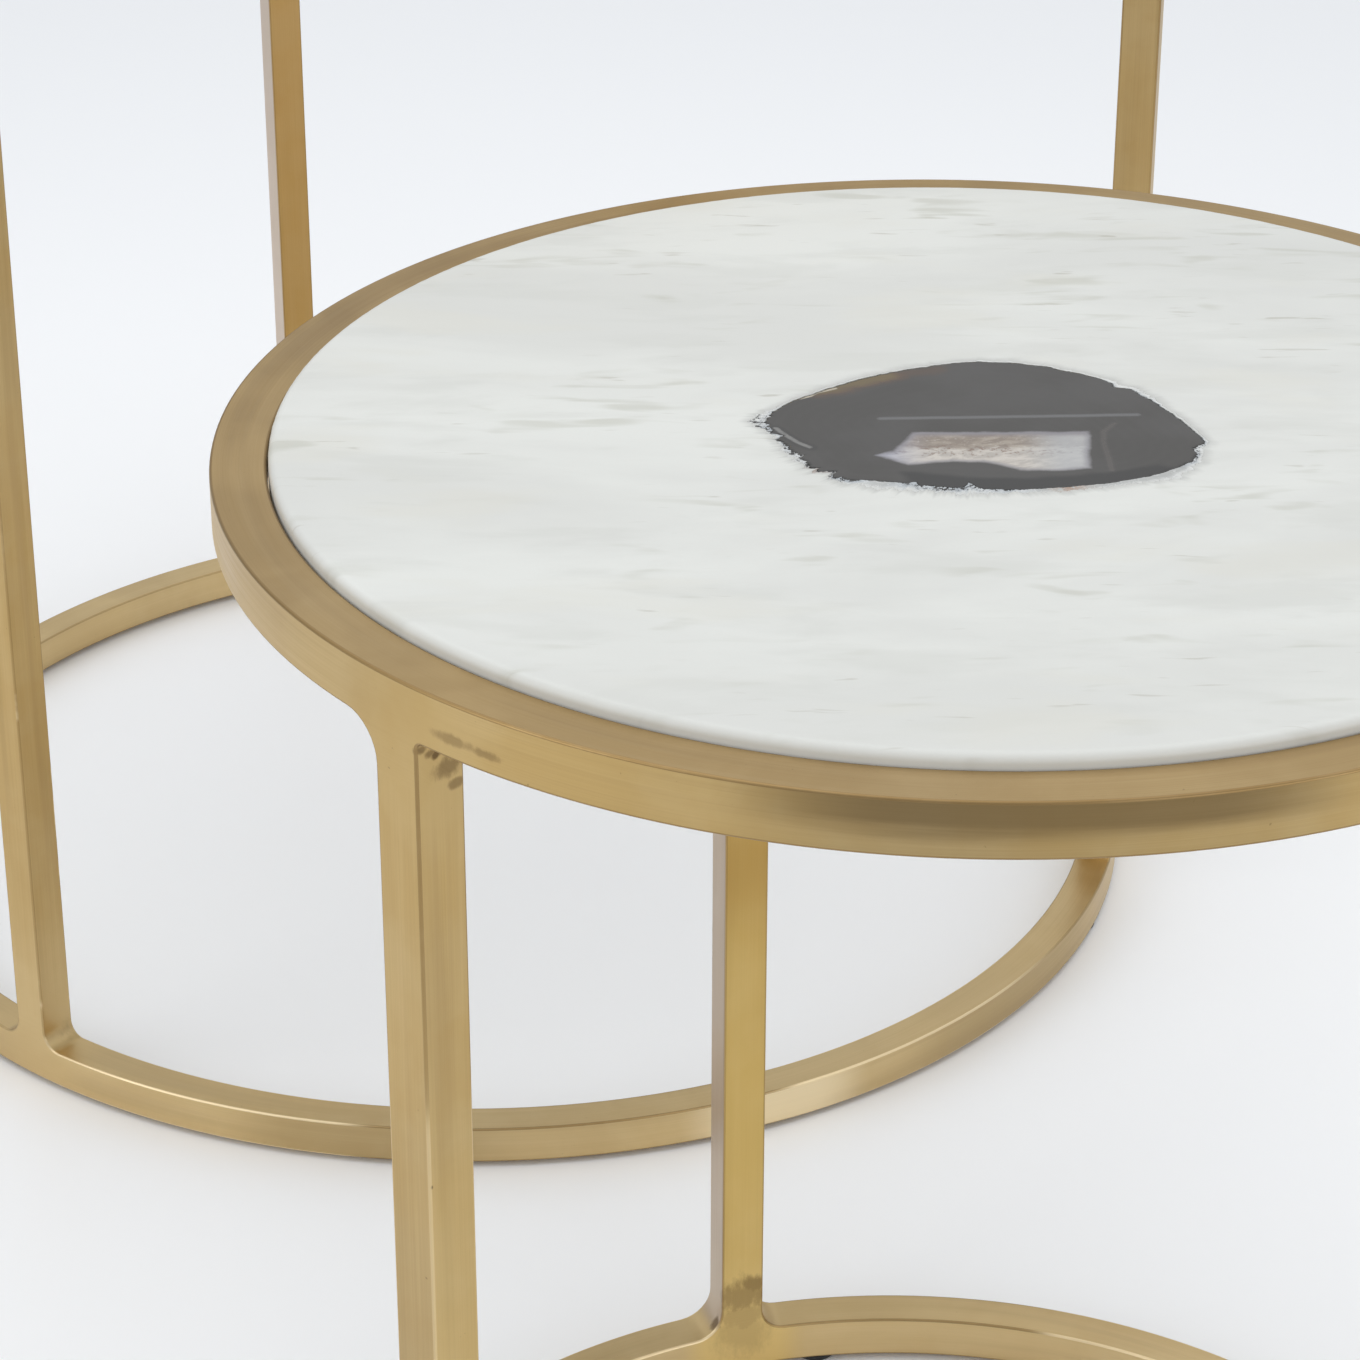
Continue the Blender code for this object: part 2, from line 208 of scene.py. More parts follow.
class Nodes:
    """A short way to write a material's node tree."""

    def __init__(self, name):
        self.material = bpy.data.materials.new(name)
        self.material.use_nodes = True
        self.tree = self.material.node_tree
        self.shader = self.tree.nodes["Principled BSDF"]
        self.place = self.tree.nodes.new("ShaderNodeTexCoord").outputs["Object"]

    def link(self, value, socket):
        if isinstance(value, bpy.types.NodeSocket):
            self.tree.links.new(value, socket)
        elif isinstance(value, tuple) and len(value) == 3 and socket.type == "RGBA":
            socket.default_value = (*value, 1.0)
        else:
            socket.default_value = value

    def set(self, **values):
        for name, value in values.items():
            self.link(value, self.shader.inputs[name.replace("_", " ")])

    def math(self, operation, first, second=0.0, clamp=False):
        node = self.tree.nodes.new("ShaderNodeMath")
        node.operation = operation
        node.use_clamp = clamp
        self.link(first, node.inputs[0])
        self.link(second, node.inputs[1])
        return node.outputs[0]

    def times(self, first, second):
        return self.math("MULTIPLY", first, second)

    def up(self):
        """Height above the floor."""
        return self.vector("DOT_PRODUCT", self.place, (0, 0, 1))

    def vector(self, operation, first, second=(0, 0, 0)):
        node = self.tree.nodes.new("ShaderNodeVectorMath")
        node.operation = operation
        self.link(first, node.inputs[0])
        self.link(second, node.inputs[1])
        return node.outputs["Value" if operation in ("LENGTH", "DISTANCE", "DOT_PRODUCT") else "Vector"]

    def mapped(self, source, scale=(1, 1, 1), turn=0.0, shift=(0, 0, 0)):
        node = self.tree.nodes.new("ShaderNodeMapping")
        self.link(source, node.inputs["Vector"])
        node.inputs["Scale"].default_value = scale
        node.inputs["Rotation"].default_value = (0, 0, turn)
        node.inputs["Location"].default_value = shift
        return node.outputs[0]

    def noise(self, source, scale, detail=4.0, rough=0.55, distort=0.0):
        node = self.tree.nodes.new("ShaderNodeTexNoise")
        self.link(source, node.inputs["Vector"])
        node.inputs["Scale"].default_value = scale
        node.inputs["Detail"].default_value = detail
        node.inputs["Roughness"].default_value = rough
        node.inputs["Distortion"].default_value = distort
        return node.outputs["Fac"]

    def ramp(self, source, low, high, start=0.0, end=1.0):
        """Source mapped smoothly from low..high to start..end, clamped."""
        node = self.tree.nodes.new("ShaderNodeMapRange")
        node.interpolation_type = "SMOOTHSTEP"
        self.link(source, node.inputs["Value"])
        node.inputs["From Min"].default_value = low
        node.inputs["From Max"].default_value = high
        node.inputs["To Min"].default_value = start
        node.inputs["To Max"].default_value = end
        return node.outputs[0]

    def outside(self, share):
        """0 where the share is 1, and 1 where it is 0."""
        return self.ramp(share, 0.0, 1.0, 1.0, 0.0)

    def near(self, distance, full, none, strength=1.0):
        """Strength up to the full distance, falling to 0 at the second, both in mm."""
        return self.ramp(distance, full * MM, none * MM, strength, 0.0)

    def tint(self, colour, *layers):
        """A colour with tones laid over it in turn, from (share, tone) pairs."""
        for share, tone in layers:
            colour = self.mix(share, colour, tone)
        return colour

    def mix(self, share, first, second):
        node = self.tree.nodes.new("ShaderNodeMix")
        node.data_type = "RGBA"
        self.link(share, node.inputs["Factor"])
        self.link(first, node.inputs[6])
        self.link(second, node.inputs[7])
        return node.outputs[2]

    def attribute(self, name):
        node = self.tree.nodes.new("ShaderNodeAttribute")
        node.attribute_name = name
        return node.outputs["Fac"]

    def brushed(self, along, across, detail, rough, shift=0.0):
        """Noise drawn out along the tube: round the hoops, and up and down the legs."""
        split = self.tree.nodes.new("ShaderNodeSeparateXYZ")
        self.link(self.place, split.inputs[0])
        join = self.tree.nodes.new("ShaderNodeCombineXYZ")
        for axis, slant in (("X", 0.7), ("Y", -0.7)):
            slid = self.times(self.math("ADD", split.outputs["Z"], shift), slant)
            self.link(self.times(self.math("ADD", split.outputs[axis], slid), along), join.inputs[axis])
        self.link(self.times(self.attribute("across"), across), join.inputs["Z"])
        return self.noise(join.outputs[0], 1.0, detail, rough)

    def bump(self, height, distance, strength=1.0, below=None):
        node = self.tree.nodes.new("ShaderNodeBump")
        self.link(height, node.inputs["Height"])
        node.inputs["Distance"].default_value = distance
        node.inputs["Strength"].default_value = strength
        if below:
            self.link(below, node.inputs["Normal"])
        return node.outputs[0]


def weld_points(table, depth):
    """Where the legs meet the two hoops, at a depth inside the tube's outer face."""
    reach = table.radius - depth
    points = []
    for angle in table.legs:
        for height in (table.rim_low, table.base_high):
            points.append(table.centre + Vector((reach * math.cos(angle), reach * math.sin(angle), height)))
    return points


def nearest_of(n, points):
    nearest = None
    for point in points:
        away = n.vector("DISTANCE", n.place, tuple(point))
        nearest = away if nearest is None else n.math("MINIMUM", nearest, away)
    return nearest


def smudge(n, table, leg, depth, offset, height, size, ragged):
    """A stain of a given half size near one leg: 1 inside, 0 outside, with a ragged edge."""
    angle = table.legs[leg - 1]
    along = Vector((math.cos(angle), math.sin(angle), 0))
    across = Vector((-along.y, along.x, 0))
    place = table.centre + along * (table.radius - depth) + across * offset + Vector((0, 0, height))
    local = n.mapped(n.vector("SUBTRACT", n.place, tuple(place)), turn=-angle)
    local = n.mapped(local, scale=tuple(1 / (one * MM) for one in size))
    reach = n.math("ADD", n.vector("LENGTH", local), n.times(ragged, 1.6))
    return n.ramp(reach, 1.18, 1.85, 1.0, 0.0)


def weld_stains(n, table):
    """Brown stains of the torch that the polishing left behind."""
    ragged = n.noise(n.mapped(n.place, (1, 1, 0.5)), 260.0, 5.0, 0.68)
    inside = nearest_of(n, weld_points(table, table.tube + 2 * MM))
    reach = n.math("ADD", inside, n.times(ragged, 16 * MM))
    stain = n.ramp(reach, 13 * MM, 22 * MM, 0.26, 0.0)
    for leg, depth, offset, height, size, strength in STAINS[table.name]:
        height = table.rim_low + height * MM if height < 0 or offset > 12 else table.base_high + height * MM
        one = smudge(n, table, leg, depth * MM, offset * MM, height, size, ragged)
        stain = n.math("MAXIMUM", stain, n.times(one, strength))
    return stain


def facing(n, direction, low=0.55, high=0.92):
    """1 on faces that look in a direction, 0 on the others."""
    normal = n.place.node.outputs["Normal"]
    return n.ramp(n.vector("DOT_PRODUCT", normal, direction), low, high)


def dull_band(n, table):
    """Painted dark reflection on the low table's rim: round its front, upper half of its outer face."""
    out = out_from(n, table)
    toward = n.vector("DOT_PRODUCT", out, (math.cos(DARK_REFLECTION_TURN), math.sin(DARK_REFLECTION_TURN), 0))
    front = n.ramp(toward, table.radius * 0.92, table.radius * 0.985)
    face = n.ramp(n.vector("LENGTH", out), table.radius - 1.0 * MM, table.radius - 0.4 * MM)
    height = n.math("ADD", n.up(), n.times(n.brushed(14, 260, 3.0, 0.6, 4.4), 5 * MM))
    upper = n.ramp(height, table.rim_low + 6.2 * MM, table.rim_low + 11.8 * MM, 0.26, 0.78)
    return n.times(n.times(front, face), upper)


def by_leg(n, table, number):
    """1 on a leg and the welds beside it, 0 further off."""
    angle = table.legs[number - 1]
    leg = table.centre + Vector((math.cos(angle), math.sin(angle), 0)) * (table.radius - table.tube / 2)
    away = n.vector("DISTANCE", n.vector("MULTIPLY", n.place, (1, 1, 0)), tuple(leg))
    return n.near(away, 14, 26)


def out_from(n, table):
    """The level way from the table's axis to the surface."""
    return n.vector("MULTIPLY", n.vector("SUBTRACT", n.place, tuple(table.centre)), (1, 1, 0))


def outward(n, table):
    return n.vector("NORMALIZE", out_from(n, table))


def around(n, table, degrees, near, far):
    """1 within near degrees of a place round the hoops, 0 beyond far degrees."""
    turn = math.radians(degrees)
    toward = n.vector("DOT_PRODUCT", outward(n, table), (math.cos(turn), math.sin(turn), 0))
    return n.ramp(toward, math.cos(math.radians(far)), math.cos(math.radians(near)))


def floor_hoop(n, table, height, colour):
    """The floor hoop's outer face: painted shade to the left and the right of a painted highlight."""
    face = n.times(facing(n, outward(n, table)), n.ramp(height, 0.018, 0.022, 1.0, 0.0))
    for degrees, near, far, strength, tone in HOOP_SHADE_AND_HIGHLIGHT:
        share = n.times(around(n, table, degrees, near, far), strength)
        colour = n.mix(n.times(face, share), colour, tone)
    return colour


def aged(n, table, colour):
    """Painted shade on the rim's top, painted light low down, painted light and shade on two legs."""
    height = n.up()
    # painted shade on the upward faces by the rim's top
    rim = n.times(n.ramp(height, table.rim_low + 12 * MM, table.rim_low + 14 * MM), facing(n, (0, 0, 1)))
    colour = n.mix(n.times(rim, 0.34), colour, BRASS_TOP_SHADE)
    # the rear leg: a pale painted reflection on its -X faces, painted light and shade on its -Y faces
    rear = by_leg(n, table, 1)
    side = n.times(rear, facing(n, (-1, 0, 0)))
    front = n.times(rear, facing(n, (0, -1, 0)))
    if table.name == "large":
        # painted light on the tall table's lowest parts
        colour = n.mix(n.ramp(height, 0.02, 0.10, 0.24, 0.0), colour, BRASS_PAINTED_LIGHT)
        # painted highlight and shade round the floor hoop, an orange tone higher up, a pale painted
        # reflection on the rear leg's side and painted shade on its front
        return n.tint(floor_hoop(n, table, height, colour),
                      (n.ramp(height, 0.03, 0.12, 0.0, 0.16), (0.440, 0.270, 0.085)),
                      (n.times(side, 0.60), (0.640, 0.560, 0.530)),
                      (n.times(front, 0.50), (0.410, 0.225, 0.060)))
    # painted shade: a dark reflection band on the rear leg's front, about 165 to 340 mm up
    patch = n.times(n.ramp(height, 0.165, 0.210, 0.0, 0.46), n.ramp(height, 0.24, 0.34, 1.0, 0.0))
    # leg 2 lower down: painted shade on its outward faces, painted light on its anticlockwise side
    low = n.times(by_leg(n, table, 2), n.ramp(height, 0.22, 0.36, 1.0, 0.0))
    turn = table.legs[1]
    outer = n.times(low, facing(n, (math.cos(turn), math.sin(turn), 0)))
    inner = n.times(low, facing(n, (-math.sin(turn), math.cos(turn), 0)))
    # painted light low down, painted light, shade and reflection on the rear leg and leg 2, and a painted
    # dark reflection on the rim's front
    return n.tint(colour,
                  (n.ramp(height, 0.02, 0.06, 0.26, 0.0), BRASS_PAINTED_LIGHT),
                  (n.times(front, 0.40), (0.820, 0.580, 0.160)),
                  (n.times(front, patch), (0.360, 0.200, 0.050)),
                  (n.times(side, 0.58), (0.540, 0.470, 0.440)),
                  (n.times(outer, 0.30), (0.300, 0.215, 0.115)),
                  (n.times(inner, 0.32), (0.830, 0.640, 0.290)),
                  (dull_band(n, table), (0.150, 0.100, 0.046)))


def worn_arris(n, table, colour):
    """Edges: painted shade up high; wear and painted highlights lower; painted shade round the floor hoop.
    """
    height = n.up()
    # painted shade on the edges, stronger higher up
    shade = n.ramp(height, 0.30, 0.42, 0.46, 0.80)
    if table.name == "small":
        # painted highlight along leg 2's edges below about 330 mm
        leg_arris_highlight = n.times(by_leg(n, table, 2), n.ramp(height, 0.312, 0.330, 1.0, 0.0))
        shade = n.times(shade, n.outside(leg_arris_highlight))
        colour = n.mix(n.times(leg_arris_highlight, 0.34), colour, BRASS_WORN_AND_HIGHLIGHT)
    # painted shade on the floor hoop's edge round one place, and a painted highlight beyond it
    dark = around(n, table, ARRIS_SHADE_MIDDLE[table.name], 15, 20)
    bright = n.times(around(n, table, ARRIS_SHADE_MIDDLE[table.name], 38, 54), n.outside(dark))
    # worn patches are wear; on the floor hoop the painted highlight takes their place
    wear_and_highlight = n.ramp(n.noise(n.place, 40.0, 4.0, 0.6), 0.50, 0.64)
    wear_and_highlight = n.times(wear_and_highlight, n.outside(by_leg(n, table, 1)))
    wear_and_highlight = n.mix(n.ramp(height, 0.020, 0.024, 1.0, 0.0), wear_and_highlight, bright)
    return n.tint(colour,
                  (shade, BRASS_SHADE),
                  (n.times(wear_and_highlight, n.ramp(height, 0.02, 0.30, 0.90, 0.04)), BRASS_WORN_AND_HIGHLIGHT),
                  (n.times(dark, n.ramp(height, 0.020, 0.024, 0.55, 0.0)), BRASS_SHADE))


def brass(table, name, on_arris):
    """Satin brass, brushed along the tube, with heat marks left at the welds."""
    n = Nodes(name)
    ground = n.ramp(nearest_of(n, weld_points(table, table.tube / 2)), 17 * MM, 34 * MM)
    fine = n.brushed(12, 2300, 3.0, 0.6)
    broad = n.brushed(9, 230, 3.0, 0.5, 3.1)
    streak = n.brushed(5, 110, 2.0, 0.45, 7.7)
    cloud = n.noise(n.place, 30.0, 4.0, 0.55, 0.3)
    patina = n.noise(n.place, 7.0, 3.0, 0.5)
    specks = n.noise(n.place, 560.0, 2.0, 0.5)
    colour = n.tint(n.mix(n.ramp(cloud, 0.36, 0.66), BRASS_DEEP, BRASS_PALE),
                    (n.ramp(patina, 0.38, 0.62, 0.0, 0.35), BRASS_GOLD),
                    (n.times(n.ramp(broad, 0.40, 0.72, 0.0, 0.22), ground), BRASS_BRIGHT),
                    (n.times(n.ramp(streak, 0.52, 0.68, 0.0, 0.24), ground), BRASS_SHADE),
                    (n.times(n.ramp(fine, 0.35, 0.75, 0.0, 0.10), ground), BRASS_SHADE),
                    (n.ramp(specks, 0.755, 0.80, 0.0, 0.35), (0.100, 0.062, 0.030)))
    stain = weld_stains(n, table)
    colour = n.mix(stain, aged(n, table, colour), (0.150, 0.092, 0.042))
    if on_arris:
        colour = worn_arris(n, table, colour)
    rough = n.math("ADD", n.ramp(cloud, 0.3, 0.7, 0.32, 0.42), n.ramp(fine, 0.3, 0.7, -0.03, 0.05))
    rough = n.math("ADD", rough, n.times(stain, 0.20), clamp=True)
    height = n.math("ADD", n.times(fine, 0.5), n.times(broad, 0.6))
    brushed = n.bump(n.times(height, ground), 0.02 * MM, 0.5, below=n.bump(cloud, 0.25 * MM, 0.22))
    n.set(Base_Color=colour, Roughness=rough, Metallic=1.0, Normal=brushed)
    return n.material


def marble(table, name):
    """Honed white marble with faint short streaks that all run one way."""
    n = Nodes(name)
    place = n.vector("SUBTRACT", n.place, tuple(table.centre))
    along = n.mapped(place, turn=-GRAIN_TURN)
    drift = n.noise(along, 11.0, 3.0)
    cloud = n.noise(n.mapped(along, (6, 15, 9)), 1.0, 5.0, 0.55, 0.5)
    haze = n.noise(n.mapped(along, (18, 60, 20), shift=(3.1, 1.7, 0)), 1.0, 4.0, 0.55, 0.3)
    streak = n.noise(n.mapped(along, (32, 130, 24), shift=(1.3, 4.2, 0)), 1.0, 2.0, 0.5, 0.4)
    vein = n.noise(n.mapped(along, (55, 330, 30), shift=(7.7, 2.2, 0)), 1.0, 2.0, 0.5, 0.3)
    warm = n.noise(n.mapped(along, (13, 34, 9), shift=(5.5, 8.1, 0)), 1.0, 3.0, 0.5)
    grain = n.noise(place, 1100.0, 2.0)
    gate = n.ramp(drift, 0.40, 0.58)
    # painted shade: the marble turns grey within a few mm of the pocket's edge
    halo = n.math("ADD", n.attribute("halo"), n.times(n.noise(place, 160.0, 3.0), 3 * MM))
    colour = n.tint(n.mix(n.ramp(cloud, 0.36, 0.64), MARBLE_WHITE, MARBLE_GREY),
                    (n.ramp(haze, 0.50, 0.68, 0.0, 0.40), MARBLE_HAZE),
                    (n.ramp(warm, 0.54, 0.70, 0.0, 0.35), MARBLE_WARM),
                    (n.times(n.ramp(streak, 0.58, 0.74, 0.0, 0.55), gate), MARBLE_STREAK),
                    (n.times(n.ramp(vein, 0.66, 0.76, 0.0, 0.50), gate), MARBLE_VEIN),
                    (n.ramp(grain, 0.4, 0.7, 0.0, 0.05), MARBLE_HAZE),
                    (n.near(halo, 1.2, 5.0, 0.55), (0.430, 0.430, 0.410)))
    rough = n.ramp(haze, 0.3, 0.7, 0.32, 0.42)
    normal = n.bump(grain, 0.02 * MM, 0.2, below=n.bump(cloud, 0.15 * MM, 0.10))
    n.set(Base_Color=colour, Roughness=rough, Normal=normal, IOR=1.49)
    return n.material


def agate(name):
    """Polished grey agate. The piece's attributes say where its window, lines and rim lie."""
    n = Nodes(name)
    wobble = n.noise(n.place, 200.0, 4.0, 0.6)
    fine = n.noise(n.place, 900.0, 3.0, 0.6)
    broad = n.noise(n.place, 36.0, 3.0, 0.5)
    rim = n.attribute("rim")
    loose = n.times(n.math("SUBTRACT", wobble, 0.5), 1.6 * MM)
    rings = n.math("SINE", n.times(n.math("ADD", rim, n.times(wobble, 3 * MM)), 1500.0))
    colour = n.tint(n.mix(n.ramp(broad, 0.35, 0.65), (0.038, 0.034, 0.029), (0.050, 0.046, 0.042)),
                    (n.ramp(rings, 0.2, 1.0, 0.0, 0.06), (0.095, 0.088, 0.082)),
                    (n.near(n.attribute("foot"), -2.0, 1.2, 0.80), (0.008, 0.007, 0.006)),
                    (n.near(n.attribute("band"), 0.2, 1.3, 0.30), (0.130, 0.110, 0.100)),
                    (n.near(n.attribute("line"), 0.2, 1.5, 0.70), (0.150, 0.150, 0.155)))
    crack = n.math("ADD", n.attribute("crack"), loose)
    inside = n.math("SUBTRACT", n.attribute("window"), loose)
    colour = n.tint(amber(n, colour, wobble),
                    (n.near(crack, 1.6, 2.6, 0.55), (0.018, 0.017, 0.015)),
                    (n.near(crack, 0.3, 1.2, 0.75), (0.240, 0.235, 0.225)),
                    (n.near(inside, -1.1, 0.5), quartz(n, inside, wobble, fine)),
                    (n.near(rim, 0.25, 1.1, 0.75), (0.014, 0.013, 0.011)))
    core = n.near(inside, -4.0, -1.4)
    pits = n.bump(n.times(fine, core), 0.06 * MM, 0.45)
    n.set(Base_Color=colour, Roughness=n.ramp(core, 0.0, 1.0, 0.09, 0.17), IOR=1.54, Normal=pits)
    return n.material


def amber(n, colour, wobble):
    """Olive and rust staining under the upper left rim, with one pale streak."""
    loose = n.times(n.math("SUBTRACT", wobble, 0.5), 5 * MM)
    stain = n.math("ADD", n.attribute("amber"), loose)
    tail = n.math("ADD", n.attribute("amber_tail"), loose)
    return n.tint(colour,
                  (n.near(tail, 0.5, 4.6, 0.62), (0.085, 0.048, 0.026)),
                  (n.near(stain, 2.5, 7.0, 0.85), (0.095, 0.052, 0.028)),
                  (n.near(stain, 1.0, 4.6, 0.80), (0.140, 0.100, 0.034)),
                  (n.near(n.attribute("streak"), 0.2, 0.75, 0.95), (0.480, 0.430, 0.330)))


def quartz(n, inside, wobble, fine):
    """Crystal window: lavender frost at its border, tan above, whitish below, rust where they meet."""
    down = n.math("ADD", n.attribute("down"), n.times(n.math("SUBTRACT", wobble, 0.5), 9 * MM))
    along = n.attribute("along")
    cloud = n.noise(n.mapped(n.place, (1, 2.0, 1), turn=-GRAIN_TURN), 160.0, 5.0, 0.6, 0.4)
    pale = n.mix(n.ramp(cloud, 0.40, 0.60), (0.570, 0.525, 0.470), (0.430, 0.395, 0.355))
    tan = n.mix(n.ramp(cloud, 0.35, 0.60), (0.345, 0.295, 0.240), (0.235, 0.190, 0.152))
    meeting = n.math("ABSOLUTE", n.math("SUBTRACT", down, 12 * MM))
    rust = n.times(n.near(meeting, 1, 5), n.ramp(fine, 0.50, 0.60))
    return n.tint(n.mix(n.ramp(down, 9 * MM, 13 * MM), tan, pale),
                  (n.ramp(fine, 0.56, 0.70, 0.0, 0.22), (0.640, 0.620, 0.600)),
                  (n.times(rust, n.ramp(cloud, 0.44, 0.54, 0.0, 0.75)), (0.190, 0.115, 0.075)),
                  (n.ramp(along, 26 * MM, 40 * MM, 0.0, 0.75), (0.430, 0.440, 0.450)),
                  (n.near(along, -16, 6, 0.95), (0.320, 0.345, 0.455)),
                  (n.near(n.attribute("down"), 1, 4.5, 0.80), (0.210, 0.190, 0.205)),
                  (n.ramp(inside, -2.6 * MM, -0.6 * MM, 0.0, 0.75), (0.230, 0.220, 0.240)))


def resin(name):
    """Casting resin: bluish and cloudy by the agate, milky by the stone, with crumbs where it is broken."""
    n = Nodes(name)
    across = n.attribute("across")
    broken = n.attribute("broken")
    crumbs = n.noise(n.place, 700.0, 3.0, 0.75)
    patch = n.noise(n.place, 95.0, 4.0, 0.6)
    milky = n.ramp(n.math("ADD", across, n.times(patch, 0.6)), 0.55, 1.15, 0.0, 0.9)
    tan = n.times(n.attribute("tan"), n.ramp(crumbs, 0.38, 0.52))
    near = n.math("SUBTRACT", n.times(broken, 1.15), across)
    colour = n.tint(n.mix(n.ramp(patch, 0.40, 0.62), (0.560, 0.575, 0.575), (0.390, 0.420, 0.445)),
                    (n.ramp(broken, 0.08, 0.25, 0.75, 0.0), (0.400, 0.400, 0.380)),
                    (milky, RESIN_OUTER),
                    (n.ramp(crumbs, 0.56, 0.66, 0.0, 0.35), (0.700, 0.700, 0.690)),
                    (n.times(tan, 0.75), (0.330, 0.200, 0.130)),
                    (n.times(n.ramp(near, -0.05, 0.35), n.ramp(crumbs, 0.42, 0.50, 1.0, 0.0)),
                     (0.022, 0.021, 0.019)))
    relief = n.bump(n.times(crumbs, broken), 0.35 * MM, 0.8)
    n.set(Base_Color=colour, Roughness=n.ramp(crumbs, 0.4, 0.7, 0.14, 0.34), IOR=1.50, Normal=relief)
    return n.material


def sprayed_bar(name):
    """Flat bar, sprayed with the frame and left matt, with a little orange peel and rub marks."""
    n = Nodes(name)
    peel = n.noise(n.place, 420.0, 3.0, 0.55)
    dust = n.noise(n.place, 38.0, 4.0, 0.6)
    colour = n.mix(n.ramp(dust, 0.35, 0.68), (0.330, 0.225, 0.095), (0.250, 0.165, 0.070))
    scuff = n.noise(n.mapped(n.place, (60, 8, 30)), 1.0, 4.0, 0.7)
    colour = n.mix(n.ramp(scuff, 0.66, 0.78, 0.0, 0.35), colour, (0.46, 0.36, 0.22))
    n.set(Base_Color=colour, Roughness=n.ramp(dust, 0.3, 0.7, 0.46, 0.62), Metallic=0.75,
          Normal=n.bump(peel, 0.05 * MM, 0.5))
    return n.material


def milky_rubber(name):
    n = Nodes(name)
    bloom = n.noise(n.place, 300.0, 4.0, 0.6)
    colour = n.mix(n.ramp(bloom, 0.35, 0.7), (0.640, 0.640, 0.615), (0.540, 0.545, 0.530))
    n.set(Base_Color=colour, Roughness=n.ramp(bloom, 0.3, 0.7, 0.30, 0.46), IOR=1.42,
          Normal=n.bump(bloom, 0.03 * MM, 0.4), Transmission_Weight=0.25)
    return n.material


def black_plastic(name):
    n = Nodes(name)
    grain = n.noise(n.place, 1500.0, 3.0, 0.6)
    dust = n.noise(n.place, 160.0, 4.0, 0.6)
    colour = n.mix(n.ramp(dust, 0.45, 0.75), (0.014, 0.014, 0.015), (0.050, 0.050, 0.050))
    n.set(Base_Color=colour, Roughness=n.ramp(grain, 0.3, 0.7, 0.42, 0.60), IOR=1.46,
          Normal=n.bump(grain, 0.04 * MM, 0.5))
    return n.material


# ---------------------------------------------------------------- mesh helpers

def new_piece(name, shape, materials, body, slot, *replaced, sharp=None):
    """Turn a bmesh into a piece that rides on a CAD body and stands for CAD nodes.

    Edges that turn by more than the sharp angle, in degrees, stay crisp.
    """
    bmesh.ops.recalc_face_normals(shape, faces=shape.faces)
    mesh = bpy.data.meshes.new(name)
    shape.to_mesh(mesh)
    shape.free()
    for one in materials:
        mesh.materials.append(one)
    mesh.shade_smooth()
    if sharp:
        mesh.set_sharp_from_angle(angle=math.radians(sharp))
    made = bpy.data.objects.new(name, mesh)
    bpy.context.scene.collection.objects.link(made)
    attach(made, body)
    if replaced:
        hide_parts(*replaced)
    return made


# ---------------------------------------------------------------- welded frame

def arris_rows():
    """Rows that round a corner: distance in from the edge and depth, from one face to the other."""
    turns_in = [math.pi / 2 * step / ARRIS_STEPS for step in range(ARRIS_STEPS + 1)]
    return [(ARRIS * (1 - math.sin(turn)), ARRIS * (1 - math.cos(turn))) for turn in turns_in]


class Column:
    """One place round a hoop, where its mesh has vertices from edge to edge.

    An open column lies between legs. An arc column lies on a weld's fillet, at arc 0 by the hoop
    and at a right angle by the leg. A middle column crosses the leg's own face.
    """

    def __init__(self, kind, angle=0.0, leg=0.0, side=1, fillet=0.0, arc=0.0, offset=0.0, drop=0.0):
        self.kind = kind
        self.angle = angle
        self.leg = leg
        self.side = side
        self.fillet = fillet
        self.arc = arc
        self.offset = offset
        self.drop = drop
        self.on_leg = kind == "middle" or (kind == "arc" and arc == math.pi / 2)


def hoop_columns(table, fillets):
    """Columns in order round one hoop: back fillet, leg and front fillet three times, with bays between."""
    flat = table.tube / 2 - ARRIS
    order = sorted(range(3), key=lambda index: table.legs[index] % (2 * math.pi))
    arcs = [math.pi / 2 * step / FILLET_STEPS for step in range(FILLET_STEPS + 1)]
    columns = []
    for place, index in enumerate(order):
        leg = table.legs[index] % (2 * math.pi)
        back, ahead = (size * MM for size in fillets[index])
        columns += [Column("arc", leg=leg, side=-1, fillet=back, arc=arc) for arc in arcs]
        for share in (0.25, 0.5, 0.75):
            drop = back * (1 - share) + ahead * share
            columns.append(Column("middle", leg=leg, offset=flat * (2 * share - 1), drop=drop))
        columns += [Column("arc", leg=leg, side=1, fillet=ahead, arc=arc) for arc in reversed(arcs)]
        following = order[(place + 1) % 3]
        next_leg = table.legs[following] % (2 * math.pi) + (2 * math.pi if place == 2 else 0)
        start = leg + math.asin((table.tube / 2 + ahead) / table.radius)
        end = next_leg - math.asin((table.tube / 2 + fillets[following][0] * MM) / table.radius)
        count = round((end - start) / BAY_STEP)
        columns += [Column("open", angle=start + (end - start) * step / count) for step in range(1, count)]
    return columns


